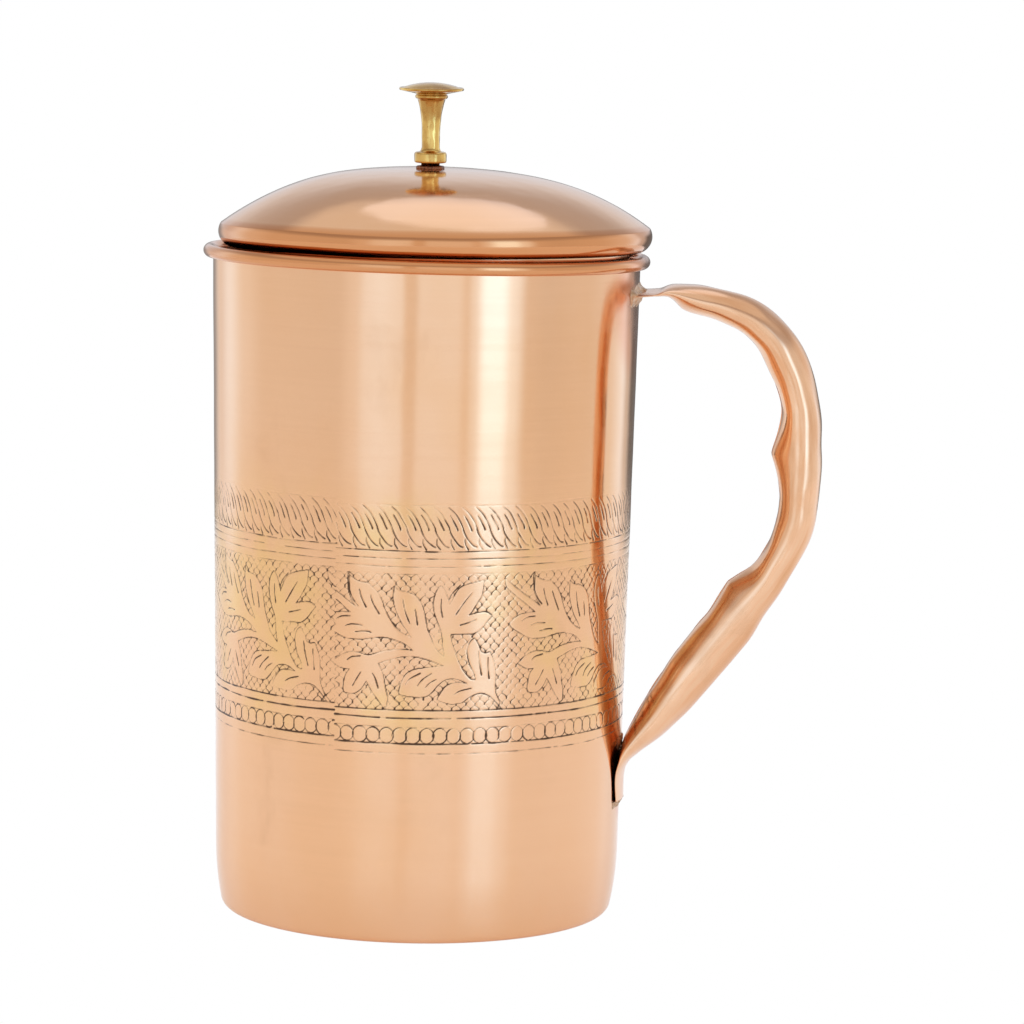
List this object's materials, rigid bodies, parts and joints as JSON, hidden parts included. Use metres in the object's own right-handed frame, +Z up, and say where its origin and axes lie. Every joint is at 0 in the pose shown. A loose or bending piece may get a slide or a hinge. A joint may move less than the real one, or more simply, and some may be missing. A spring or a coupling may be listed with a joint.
{
  "type": "water jug",
  "caption": "Straight-sided copper water jug with a band of engraving, a folded sheet handle and a loose domed lid with a turned brass knob.",
  "frame": {"origin": "centre of the flat underside of the base, on the vessel's axis", "axes": "+Z up along the vessel's axis, +X towards the handle, +Y completes the right-handed frame"},
  "size_m": [0.1604, 0.115, 0.2148],
  "materials": {
    "copper_body": "polished and finely brushed copper with dark engraved lines",
    "copper_lid": "polished copper",
    "copper_handle": "polished copper sheet",
    "brass_knob": "turned and polished brass",
    "braze": "dull brazing metal with heat stains",
    "steel_fixings": "plain steel"
  },
  "bodies": {
    "jug": {"jug_body": "copper_body", "rim_wire": "copper_body", "handle": "copper_handle", "upper_braze": "braze", "lower_braze": "braze"},
    "lid": {"lid_dome": "copper_lid", "lid_collar": "copper_lid", "collar_solder": "braze", "knob": "brass_knob", "knob_washer": "copper_lid", "knob_screw": "steel_fixings", "screw_washer": "steel_fixings"}
  },
  "joints": [
    {"name": "lid_lift", "type": "slide", "parent": "jug", "child": "lid", "axis": [0, 0, 1], "range_m": [0, 0.06]}
  ]
}
